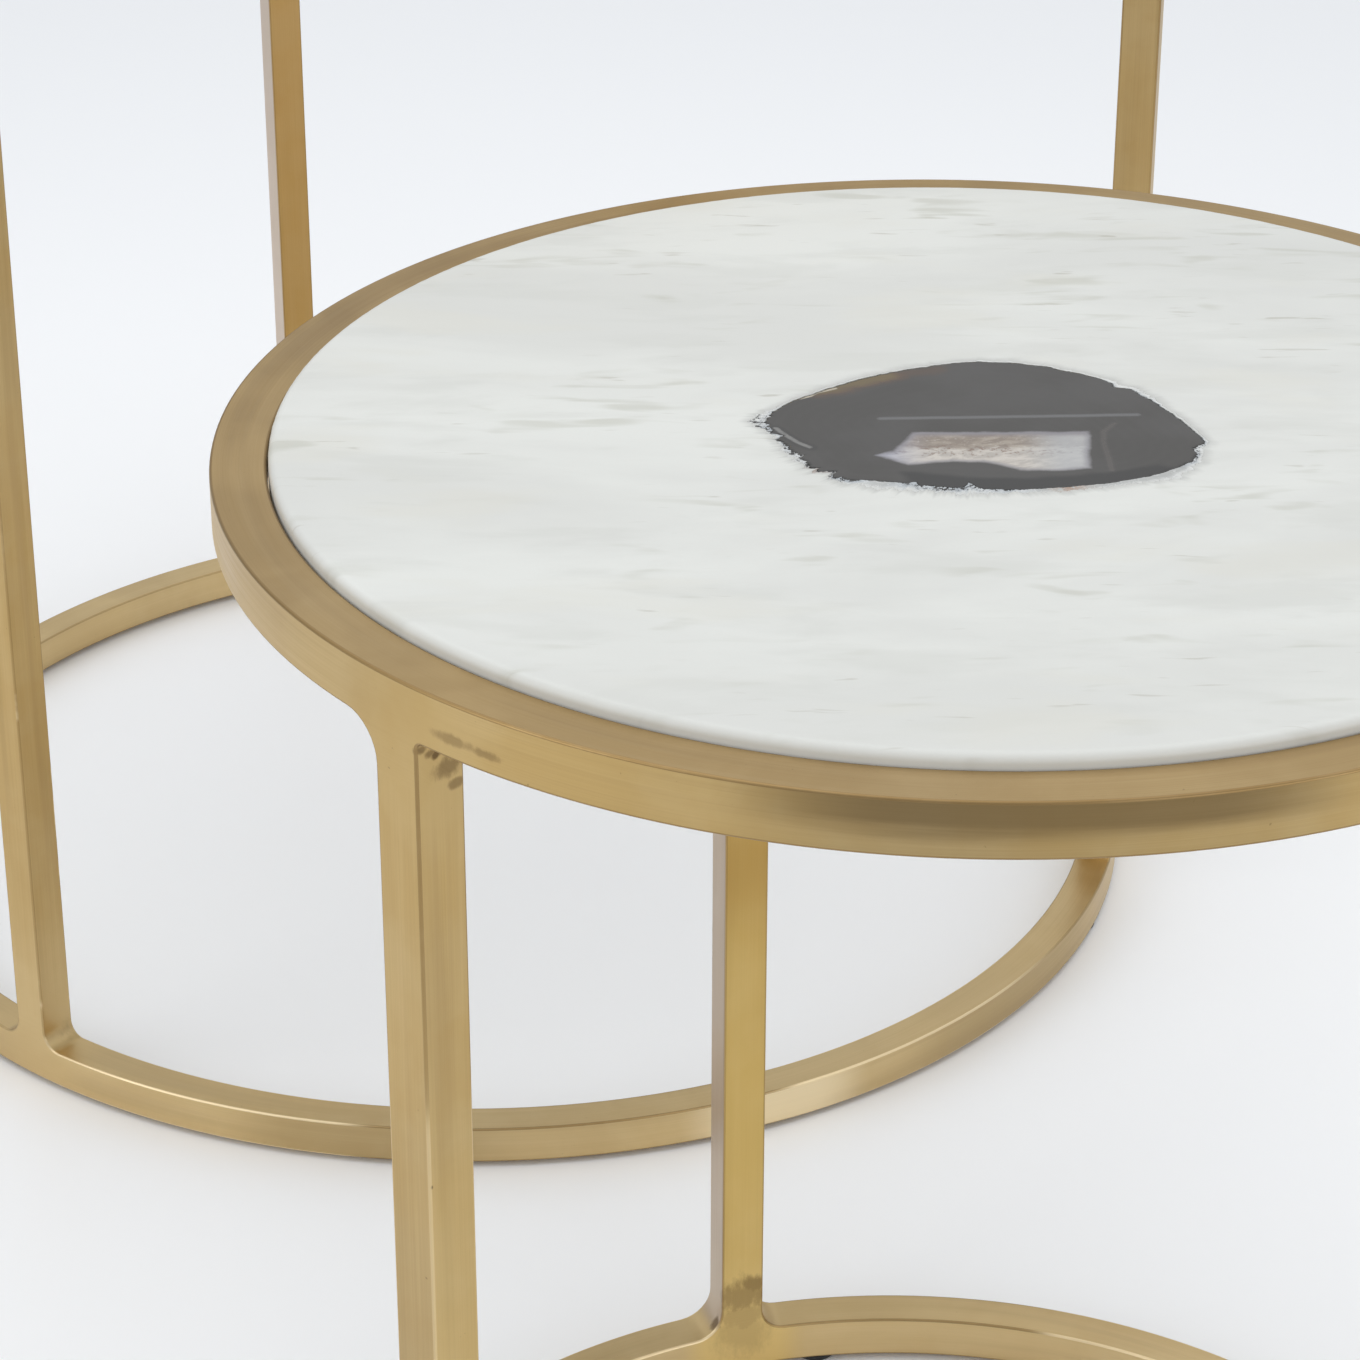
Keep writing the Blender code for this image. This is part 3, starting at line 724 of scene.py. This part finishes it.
class TubeMesh:
    """A mesh of square tube that keeps, at each vertex, its place across the brushing."""

    def __init__(self, table):
        self.table = table
        self.shape = bmesh.new()
        self.across = self.shape.verts.layers.float.new("across")

    def vertex(self, place, across):
        made = self.shape.verts.new(place + self.table.centre)
        made[self.across] = across
        return made

    def on_hoop(self, column, offset, depth, height, share):
        """A point on the hoop's curve at share 0, and on a leg's flat faces at share 1."""
        table = self.table
        angle = column.angle if column.kind == "open" else column.leg + math.asin(offset / table.radius)
        reach = table.radius - depth
        place = Vector((reach * math.cos(angle), reach * math.sin(angle), height))
        if share:
            place = place.lerp(on_leg(table, column.leg, offset, depth, height), share)
        return self.vertex(place, height + depth)

    def ladder(self, first, second):
        """Faces between two rows that run over an edge, a flat and the next edge."""
        for number in range(len(first) - 1):
            corners = [first[number], second[number], second[number + 1], first[number + 1]]
            face = self.shape.faces.new(corners)
            face.material_index = 0 if number == ARRIS_STEPS else 1

    def quad(self, *corners):
        self.shape.faces.new(corners)

    def cut_face(self, corners):
        """A flat face where a leg meets its weld, kept out of the smooth shading."""
        face = self.shape.faces.new(corners)
        for edge in face.edges:
            edge.smooth = False

    def piece(self, node, materials):
        body = self.table.frame_body
        made = new_piece(node + "_metal", self.shape, materials, body, "brushed_brass", node)
        weighted = made.modifiers.new("flat faces", "WEIGHTED_NORMAL")
        weighted.keep_sharp = True
        return made


def on_leg(table, angle, offset, depth, height):
    """A point of a leg, whose outer corners lie on the hoop's outer face."""
    along = Vector((math.cos(angle), math.sin(angle), 0))
    across = Vector((-along.y, along.x, 0))
    reach = math.sqrt(table.radius ** 2 - (table.tube / 2) ** 2) - depth
    return along * reach + across * offset + Vector((0, 0, height))


def over_and_back(rows, tube):
    """Rows over one corner and back over the other: distance in from the edge, and depth."""
    return rows + [(inward, tube - depth) for inward, depth in reversed(rows)]


def hoop_column(mesh, column, face, back):
    """The vertices of one column: over the hoop's back, and under it or down into a leg's weld."""
    tube = mesh.table.tube
    half = tube / 2
    away = 1 if face > back else -1
    cut = face + away * WELD_CUT
    rows = over_and_back(arris_rows(), tube)
    share = 0.0
    offset = column.offset
    if column.kind == "arc":
        share = 1 - math.cos(column.arc)
        offset = column.side * (half + column.fillet - (column.fillet + ARRIS) * math.sin(column.arc))
    column.over = []
    for inward, depth in rows:
        column.over.append(mesh.on_hoop(column, offset, depth, back + away * inward, 0))
    column.under = []
    column.cut = []
    for inward, depth in rows:
        if column.kind == "open":
            column.under.append(mesh.on_hoop(column, 0, depth, face - away * inward, 0))
        elif column.kind == "arc":
            swing = column.fillet + inward
            offset = column.side * (half + column.fillet - swing * math.sin(column.arc))
            height = face + away * (column.fillet - swing * math.cos(column.arc))
            column.under.append(mesh.on_hoop(column, offset, depth, height, share))
            if column.on_leg:
                column.cut.append(mesh.on_hoop(column, column.side * (half - inward), depth, cut, 1))
    if column.kind == "middle":
        for depth in (0, tube):
            height = face + away * column.drop
            column.under.append(mesh.on_hoop(column, column.offset, depth, height, 1))
            column.cut.append(mesh.on_hoop(column, column.offset, depth, cut, 1))


def hoop_faces(mesh, columns):
    """The faces between a hoop's columns, with the stump of each leg and its cut end."""
    for number, column in enumerate(columns):
        beside = columns[(number + 1) % len(columns)]
        mesh.ladder(column.over, beside.over)
        for end in (0, -1):
            mesh.quad(column.over[end], beside.over[end], beside.under[end], column.under[end])
        if column.on_leg and beside.on_leg:
            for end in (0, -1):
                mesh.quad(column.under[end], beside.under[end], beside.cut[end], column.cut[end])
        else:
            mesh.ladder(column.under, beside.under)
        if column.on_leg and column.kind == "arc":
            mesh.ladder(column.under, column.cut)
        if column.on_leg and column.kind == "arc" and column.side == -1:
            leg = columns[number:number + 5]
            outline = [one.cut[0] for one in leg[:-1]] + leg[-1].cut
            outline += [one.cut[-1] for one in reversed(leg[1:-1])] + column.cut[:0:-1]
            mesh.cut_face(outline)


def hoop_piece(table, which, face, back, fillets, materials):
    """A hoop of square tube with the ground welds of its three legs, which stand on its face."""
    mesh = TubeMesh(table)
    columns = hoop_columns(table, fillets)
    for column in columns:
        hoop_column(mesh, column, face, back)
    hoop_faces(mesh, columns)
    mesh.piece(table.name + "_" + which, materials)


def leg_piece(table, number, materials):
    """The straight run of one leg between its two welds."""
    mesh = TubeMesh(table)
    angle = table.legs[number - 1]
    half = table.tube / 2
    rows = over_and_back(arris_rows(), table.tube)
    section = [(half - inward, depth) for inward, depth in rows]
    section += [(inward - half, depth) for inward, depth in reversed(rows)]
    rings = []
    for height in np.linspace(table.base_high + WELD_CUT, table.rim_low - WELD_CUT, 9):
        ring = []
        for offset, depth in section:
            ring.append(mesh.vertex(on_leg(table, angle, offset, depth, height), number + offset + depth))
        rings.append(ring)
    middle = len(rows)
    for ring, other in zip(rings, rings[1:]):
        mesh.ladder(ring[:middle], other[:middle])
        mesh.ladder(ring[middle:], other[middle:])
        mesh.quad(ring[middle - 1], ring[middle], other[middle], other[middle - 1])
        mesh.quad(ring[-1], ring[0], other[0], other[-1])
    mesh.cut_face(rings[0])
    mesh.cut_face(rings[-1])
    mesh.piece(table.name + "_leg_" + str(number), materials)


def welded_frame(table, materials):
    top_fillets = [pair[0] for pair in FILLETS[table.name]]
    base_fillets = [pair[1] for pair in FILLETS[table.name]]
    hoop_piece(table, "top_ring", table.rim_low, table.rim_high, top_fillets, materials)
    hoop_piece(table, "base_ring", table.base_high, table.base_low, base_fillets, materials)
    for number in (1, 2, 3):
        leg_piece(table, number, materials)


# ---------------------------------------------------------------- slab, agate and resin

def turns():
    return np.linspace(0, 2 * math.pi, ROUND_STEPS, endpoint=False)


def ring_noise(scale, seed, octaves=3):
    """Smooth noise from about -1 to 1 round a circle, the same on every run."""
    values = []
    for turn in turns():
        place = Vector((math.cos(turn) * scale, math.sin(turn) * scale, seed))
        values.append(noise.fractal(place, 1.0, 2.0, octaves, noise_basis="PERLIN_ORIGINAL"))
    return np.array(values)


def inlay_radius(table):
    """The CAD agate's outline as a distance from the table's axis, for each turn."""
    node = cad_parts[table.name + "_agate_inlay"]
    points = np.array([vertex.co for vertex in node.data.vertices])
    top = points[points[:, 2] > table.slab_high - 0.1 * MM] - np.array(table.centre)
    angles = np.arctan2(top[:, 1], top[:, 0]) % (2 * math.pi)
    order = np.argsort(angles)
    reach = np.hypot(top[:, 0], top[:, 1])[order]
    found = np.interp(turns(), angles[order], reach, period=2 * math.pi)
    window = np.hanning(25)
    padded = np.concatenate([found[-12:], found, found[:12]])
    return np.convolve(padded, window / window.sum(), mode="valid")


def round_slice(table, places):
    """Bumps round the slice, from (degrees, size, spread) entries, one value for each turn."""
    degrees = np.degrees(turns() - INLAY_TURN[table.name])
    total = np.zeros(ROUND_STEPS)
    for place, size, spread in places:
        away = (degrees - place + 180) % 360 - 180
        total += size * np.exp(-(away / spread) ** 2)
    return total


class Rim:
    """The two edges of the resin joint, the agate's own and the stone's, and how broken it is."""

    def __init__(self, table):
        seed = 3.0 if table.name == "small" else 11.0
        scale = INLAY_SCALE[table.name] * MM
        self.broken = np.clip(0.06 + round_slice(table, ROUGH_PLACES), 0, 1)
        coarse = ring_noise(9.0, seed) * 0.5 + ring_noise(30.0, seed + 1) * 1.3 * self.broken
        fine = ring_noise(80.0, seed + 2) * (0.10 + 0.9 * self.broken)
        chips = round_slice(table, CHIPS)
        self.agate = inlay_radius(table) + (coarse + fine - chips - 0.4) * scale
        width = 0.8 + round_slice(table, WIDE_PLACES)
        width *= 1 + 0.5 * ring_noise(16.0, seed + 4) + 0.25 * ring_noise(60.0, seed + 5)
        self.pocket = self.agate + (np.maximum(width, 0.5) + 0.6 * chips) * scale


class Disc:
    """A round mesh built from rows of vertices that run round the table's axis."""

    def __init__(self, table):
        self.table = table
        self.shape = bmesh.new()
        self.rows = []

    def row(self, reach, heights):
        heights = np.broadcast_to(heights, (ROUND_STEPS,))
        reach = np.broadcast_to(reach, (ROUND_STEPS,))
        row = []
        for turn, distance, height in zip(turns(), reach, heights):
            place = Vector((distance * math.cos(turn), distance * math.sin(turn), height))
            row.append(self.shape.verts.new(place + self.table.centre))
        self.rows.append(row)

    def join(self, closed=False):
        """Faces between the rows, and either a return to the first row or a cap at each end."""
        pairs = list(zip(self.rows, self.rows[1:]))
        if closed:
            pairs.append((self.rows[-1], self.rows[0]))
        for row, other in pairs:
            for number in range(ROUND_STEPS):
                beside = (number + 1) % ROUND_STEPS
                self.shape.faces.new([row[number], row[beside], other[beside], other[number]])
        if not closed:
            self.shape.faces.new(self.rows[0])
            self.shape.faces.new(self.rows[-1])


def polar(table, piece):
    """The turn and the distance from the table's axis of each vertex of a piece."""
    points = np.array([vertex.co for vertex in piece.data.vertices]) - np.array(table.centre)
    return np.arctan2(points[:, 1], points[:, 0]) % (2 * math.pi), np.hypot(points[:, 0], points[:, 1])


def slab_piece(table, rim, material):
    """Honed slab: ragged pocket at its middle, softened arris, and a flat underside."""
    disc = Disc(table)
    top = table.slab_high
    low = table.slab_low
    reach = table.radius - table.tube - SLAB_GAP
    nicks = ring_noise(60.0, 5.0) * 0.10 * MM
    disc.row(rim.pocket * 0.5, top - POCKET_DEPTH)
    disc.row(rim.pocket, top - POCKET_DEPTH)
    disc.row(rim.pocket, top - 0.08 * MM)
    disc.row(rim.pocket + 0.06 * MM, top)
    for step in (0.6, 1.2, 2.0, 3.0, 4.0):
        disc.row(rim.pocket + step * MM, top)
    for share in (0, 0.1, 0.25, 0.5, 0.75):
        disc.row((rim.pocket + 5 * MM) * (1 - share) + reach * share, top)
    for step in range(7):
        arc = math.pi / 2 * step / 6
        inset = SLAB_EASE * (1 - math.sin(arc))
        disc.row(reach - inset + nicks, top - SLAB_EASE * (1 - math.cos(arc)))
    disc.row(reach, low + 0.8 * MM)
    disc.row(reach - 0.8 * MM, low)
    disc.row(reach * 0.5, low)
    disc.join()
    name = table.name + "_stone_top"
    body = table.top_body
    piece = new_piece(name + "_marble", disc.shape, [material], body, "white_marble", name, sharp=40)
    turn, distance = polar(table, piece)
    # distance from the pocket's edge, which sets the marble's painted shade there
    store(piece, "halo", distance - np.interp(turn, turns(), rim.pocket, period=2 * math.pi))


def to_slice(table, points):
    """Points of the frame, as an array, in the slice's own axes and in mm."""
    turn = -INLAY_TURN[table.name]
    x = points[:, 0] - table.centre.x
    y = points[:, 1] - table.centre.y
    flat = np.stack([x * math.cos(turn) - y * math.sin(turn), x * math.sin(turn) + y * math.cos(turn)], 1)
    return flat / (INLAY_SCALE[table.name] * MM)


def to_path(points, corners):
    """Distance from each point to a line through the corners."""
    nearest = np.full(len(points), 1000.0)
    corners = np.array(corners, float)
    for start, end in zip(corners, corners[1:]):
        along = end - start
        share = np.clip(((points - start) @ along) / (along @ along), 0, 1)
        away = np.linalg.norm(points - start - share[:, None] * along, axis=1)
        nearest = np.minimum(nearest, away)
    return nearest


def to_polygon(points, corners):
    """Signed distance from each point to a polygon, negative inside."""
    closed = list(corners) + [corners[0]]
    inside = np.zeros(len(points), bool)
    for (start_x, start_y), (end_x, end_y) in zip(closed, closed[1:]):
        if start_y == end_y:
            continue
        crosses = (start_y > points[:, 1]) != (end_y > points[:, 1])
        meets = start_x + (end_x - start_x) * (points[:, 1] - start_y) / (end_y - start_y)
        inside ^= crosses & (points[:, 0] < meets)
    distance = to_path(points, closed)
    return np.where(inside, -distance, distance)


def store(piece, name, values):
    layer = piece.data.attributes.new(name, "FLOAT", "POINT")
    layer.data.foreach_set("value", np.asarray(values, np.float32))


def agate_piece(table, rim, material):
    """Polished slice with a tiny chamfer. Its face is fine enough to carry the pattern's distances."""
    disc = Disc(table)
    top = table.slab_high
    low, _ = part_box(table.name + "_agate_inlay")
    name = table.name + "_agate_inlay"
    disc.row(rim.agate - 0.5 * MM, low.z)
    disc.row(rim.agate, low.z + 0.5 * MM)
    disc.row(rim.agate, top - 0.30 * MM)
    disc.row(rim.agate - 0.10 * MM, top - 0.08 * MM)
    edge = rim.agate - 0.30 * MM
    for share in np.linspace(0, 1, AGATE_ROWS):
        disc.row(edge * (1 - share) + 2 * MM * share, top)
    disc.join()
    body = table.top_body
    piece = new_piece(name + "_slice", disc.shape, [material], body, "grey_agate", name, sharp=50)
    turn, distance = polar(table, piece)
    store(piece, "rim", np.interp(turn, turns(), rim.agate, period=2 * math.pi) - distance)
    flat = to_slice(table, np.array([vertex.co for vertex in piece.data.vertices]))
    warp = np.array([[noise.noise(Vector((x * 0.11, y * 0.11, level))) for level in (2.0, 40.0)]
                     for x, y in flat])
    for attribute, distance in (
            ("window", to_polygon(flat + warp * 0.5, WINDOW)),
            ("foot", to_polygon(flat + warp * 1.5, DARK_FOOT)),
            ("line", to_path(flat + warp * 0.2, BRIGHT_LINE)),
            ("band", to_path(flat + warp * 0.8, SIDE_BAND)),
            ("crack", to_path(flat + warp * 0.8, PALE_CRACK)),
            ("amber", to_path(flat + warp, AMBER)),
            ("amber_tail", to_path(flat + warp, AMBER_TAIL)),
            ("streak", to_path(flat + warp * 0.3, AMBER_STREAK)),
            ("along", (flat - WINDOW[3]) @ WINDOW_ALONG),
            ("down", (flat - WINDOW[3]) @ WINDOW_DOWN)):
        store(piece, attribute, distance * MM)


def resin_piece(table, rim, material):
    """The resin joint between the agate and the stone, rough where it is broken."""
    disc = Disc(table)
    top = table.slab_high
    low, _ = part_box(table.name + "_resin_seam")
    name = table.name + "_resin_seam"
    across = []
    for share in np.linspace(0, 1, RESIN_ROWS):
        reach = (rim.agate + 0.05 * MM) * (1 - share) + (rim.pocket - 0.03 * MM) * share
        rise = []
        for turn, distance in zip(turns(), reach):
            place = Vector((distance * math.cos(turn), distance * math.sin(turn), 0.5))
            rise.append(0.10 - 0.55 * noise.voronoi(place * 800)[0][0] + 0.25 * noise.noise(place * 260))
        rough = np.array(rise) * rim.broken * (1 - share ** 3) - 0.22 * math.sin(math.pi * share)
        disc.row(reach, top + np.minimum(rough, 0.10) * MM - 0.02 * MM)
        across += [share] * ROUND_STEPS
    for reach, share in ((rim.pocket - 0.03 * MM, 1.0), (rim.agate + 0.05 * MM, 0.0)):
        disc.row(reach, low.z)
        across += [share] * ROUND_STEPS
    disc.join(closed=True)
    body = table.top_body
    piece = new_piece(name + "_crystal", disc.shape, [material], body, "cast_resin", name, sharp=30)
    store(piece, "across", across)
    store(piece, "broken", np.tile(rim.broken, RESIN_ROWS + 2))
    store(piece, "tan", np.tile(round_slice(table, TAN_PLACES), RESIN_ROWS + 2))


# ---------------------------------------------------------------- supports, pads and glides

def rounded_bar(shape, size, radius, turn, middle):
    """A flat bar with rounded edges, lying along X before it is turned."""
    made = bmesh.ops.create_cube(shape, size=1.0, matrix=Matrix.Diagonal((*size, 1.0)))
    edges = {edge for vertex in made["verts"] for edge in vertex.link_edges}
    bevelled = bmesh.ops.bevel(shape, geom=list(edges), offset=radius, segments=2, affect="EDGES",
                               profile=0.5)
    points = {vertex for face in bevelled["faces"] for vertex in face.verts} | set(made["verts"])
    points = [vertex for vertex in points if vertex.is_valid]
    everything = set(points)
    for vertex in points:
        everything |= {edge.other_vert(vertex) for edge in vertex.link_edges}
    bmesh.ops.transform(shape, matrix=Matrix.Translation(middle) @ Matrix.Rotation(turn, 4, "Z"),
                        verts=list(everything))


def arm_piece(table, node, material):
    """One flat support bar between the hub and the hoop."""
    low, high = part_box(node)
    angle = table.angle_of(node)
    outer = table.radius - table.tube - 0.4 * MM
    hub_low, hub_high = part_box(table.name + "_support_hub")
    inner = (hub_high.x - hub_low.x) / 2 + 0.3 * MM
    centre = table.centre + Vector((math.cos(angle), math.sin(angle), 0)) * (inner + outer) / 2
    centre.z = ((low + high) / 2).z
    shape = bmesh.new()
    rounded_bar(shape, (outer - inner, BAR_WIDTH, high.z - low.z), 0.5 * MM, angle, centre)
    new_piece(node + "_bar", shape, [material], table.frame_body, "support_bar", node, sharp=35)


def round_node(node):
    """The foot of a round CAD node's axis on the floor, its radius, and its lowest and highest point."""
    low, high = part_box(node)
    centre = Vector(((low.x + high.x) / 2, (low.y + high.y) / 2, 0))
    return centre, (high.x - low.x) / 2, low.z, high.z


def turned_piece(name, profile, centre, material, body, slot, node, steps=48):
    """A turned solid from a profile of (radius, height), top to bottom, both ends on the axis."""
    shape = bmesh.new()
    top = shape.verts.new(centre + Vector((0, 0, profile[0][1])))
    bottom = shape.verts.new(centre + Vector((0, 0, profile[-1][1])))
    rows = []
    for radius, height in profile[1:-1]:
        row = []
        for turn in (2 * math.pi * step / steps for step in range(steps)):
            place = Vector((radius * math.cos(turn), radius * math.sin(turn), height))
            row.append(shape.verts.new(centre + place))
        rows.append(row)
    for step in range(steps):
        beside = (step + 1) % steps
        shape.faces.new([top, rows[0][step], rows[0][beside]])
        shape.faces.new([bottom, rows[-1][beside], rows[-1][step]])
        for row, other in zip(rows, rows[1:]):
            shape.faces.new([row[step], other[step], other[beside], row[beside]])
    new_piece(name, shape, [material], body, slot, node, sharp=40)


def hub_piece(table, node, material):
    _, radius, low, high = round_node(node)
    ease = 0.5 * MM
    profile = [(0, high), (radius - ease, high), (radius, high - ease), (radius, low + ease),
               (radius - ease, low), (0, low)]
    body = table.frame_body
    turned_piece(node + "_plate", profile, table.centre, material, body, "support_bar", node, 96)


def pad_piece(table, node, material):
    centre, radius, low, high = round_node(node)
    profile = [(0, high)]
    for step in range(1, 7):
        arc = math.pi / 2 * step / 7
        profile.append((radius * (0.45 + 0.55 * math.sin(arc)), low + (high - low) * math.cos(arc)))
    profile += [(radius, low), (0, low)]
    turned_piece(node + "_bumper", profile, centre, material, table.frame_body, "clear_pad", node)


def glide_piece(table, node, material):
    centre, radius, low, high = round_node(node)
    ease = 0.6 * MM
    profile = [(0, high), (radius, high), (radius, low + ease), (radius - ease * 0.3, low + ease * 0.3),
               (radius - ease, low), (0, low)]
    turned_piece(node + "_foot", profile, centre, material, table.frame_body, "black_glide", node)


def small_parts(table, bar, rubber, plastic):
    """Hub, arms, pads and glides."""
    hub_piece(table, table.name + "_support_hub", bar)
    for number in ("1", "2", "3"):
        arm_piece(table, table.name + "_support_arm_" + number, bar)
        for place in ("inner", "outer"):
            pad_piece(table, table.name + "_pad_" + place + "_" + number, rubber)
        glide_piece(table, table.name + "_glide_" + number, plastic)


def make_table(name, shared):
    table = Table(name)
    metals = [brass(table, name + "_brass", False), brass(table, name + "_brass_arris", True)]
    welded_frame(table, metals)
    rim = Rim(table)
    slab_piece(table, rim, marble(table, name + "_marble"))
    agate_piece(table, rim, shared["agate"])
    resin_piece(table, rim, shared["resin"])
    small_parts(table, shared["bar"], shared["rubber"], shared["plastic"])
    return table


# ---------------------------------------------------------------- camera, floor and light

def add_camera():
    data = bpy.data.cameras.new("camera")
    data.lens = CAMERA_LENS
    data.sensor_width = SENSOR_WIDTH
    data.clip_start = 0.01
    data.clip_end = 50
    camera = bpy.data.objects.new("camera", data)
    bpy.context.scene.collection.objects.link(camera)
    ahead = CAMERA_AIM.normalized()
    level = ahead.cross(Vector((0, 0, 1))).normalized()
    upward = level.cross(ahead)
    right = level * math.cos(CAMERA_ROLL) + upward * math.sin(CAMERA_ROLL)
    up = upward * math.cos(CAMERA_ROLL) - level * math.sin(CAMERA_ROLL)
    facing_aim = Matrix((right, up, -ahead)).transposed().to_4x4()
    camera.matrix_world = Matrix.Translation(CAMERA_PLACE) @ facing_aim
    bpy.context.scene.camera = camera


def add_floor():
    """Plain pale studio floor, as a wide disc with a faint unevenness in its tone."""
    shape = bmesh.new()
    bmesh.ops.create_circle(shape, cap_ends=True, segments=192, radius=FLOOR_RADIUS)
    mesh = bpy.data.meshes.new("floor")
    shape.to_mesh(mesh)
    shape.free()
    n = Nodes("studio_floor")
    haze = n.noise(n.place, 1.6, 3.0)
    colour = n.mix(n.ramp(haze, 0.3, 0.7), (0.955, 0.960, 0.970), (0.942, 0.948, 0.960))
    # painted shade: the floor darkens towards its edge
    colour = n.mix(n.ramp(n.vector("LENGTH", n.place), 0.35, 1.7), colour, (0.805, 0.816, 0.832))
    n.set(Base_Color=colour, Roughness=0.45)
    mesh.materials.append(n.material)
    floor = bpy.data.objects.new("floor", mesh)
    floor.location = (0, 0, cad_low.z)
    bpy.context.scene.collection.objects.link(floor)


def add_area(name, place, aim, size, power):
    data = bpy.data.lights.new(name, "AREA")
    data.shape = "RECTANGLE"
    data.size, data.size_y = size
    data.energy = power
    light = bpy.data.objects.new(name, data)
    bpy.context.scene.collection.objects.link(light)
    light.location = place
    light.rotation_mode = "QUATERNION"
    light.rotation_quaternion = (Vector(aim) - Vector(place)).to_track_quat("-Z", "Y")


def add_light():
    """A pale dome, dimmer towards the horizon, behind a plain backdrop, and three large soft boxes."""
    world = bpy.data.worlds.new("studio")
    bpy.context.scene.world = world
    world.use_nodes = True
    nodes = world.node_tree.nodes
    links = world.node_tree.links
    direction = nodes.new("ShaderNodeTexCoord")
    split = nodes.new("ShaderNodeSeparateXYZ")
    links.new(direction.outputs["Generated"], split.inputs[0])
    climb = nodes.new("ShaderNodeMapRange")
    links.new(split.outputs["Z"], climb.inputs["Value"])
    for name, value in (("From Min", 0.1), ("From Max", 0.9), ("To Min", 0.50), ("To Max", 1.00)):
        climb.inputs[name].default_value = value
    dome = nodes["Background"]
    dome.inputs["Color"].default_value = (0.955, 0.975, 1.0, 1.0)
    links.new(climb.outputs[0], dome.inputs["Strength"])
    backdrop = nodes.new("ShaderNodeBackground")
    backdrop.inputs["Color"].default_value = (0.840, 0.856, 0.880, 1.0)
    either = nodes.new("ShaderNodeMixShader")
    links.new(nodes.new("ShaderNodeLightPath").outputs["Is Camera Ray"], either.inputs[0])
    links.new(dome.outputs[0], either.inputs[1])
    links.new(backdrop.outputs[0], either.inputs[2])
    links.new(either.outputs[0], nodes["World Output"].inputs["Surface"])
    add_area("overhead", (0.0, 0.6, 3.2), (0.0, 0.2, 0.0), (4.0, 4.0), 26)
    add_area("left_window", (-5.4, -1.1, 2.5), (0.0, 0.0, 0.3), (3.96, 3.96), 62)
    add_area("front_fill", (2.7, -5.8, 1.62), (0.0, 0.0, 0.0), (5.4, 2.5), 70)
    bpy.context.scene.view_settings.view_transform = "Standard"


shared_materials = {
    "agate": agate("polished_agate"),
    "resin": resin("crystal_resin"),
    "bar": sprayed_bar("sprayed_bar"),
    "rubber": milky_rubber("milky_rubber"),
    "plastic": black_plastic("black_plastic"),
}
for table_name in ("small", "large"):
    make_table(table_name, shared_materials)
add_camera()
add_floor()
add_light()
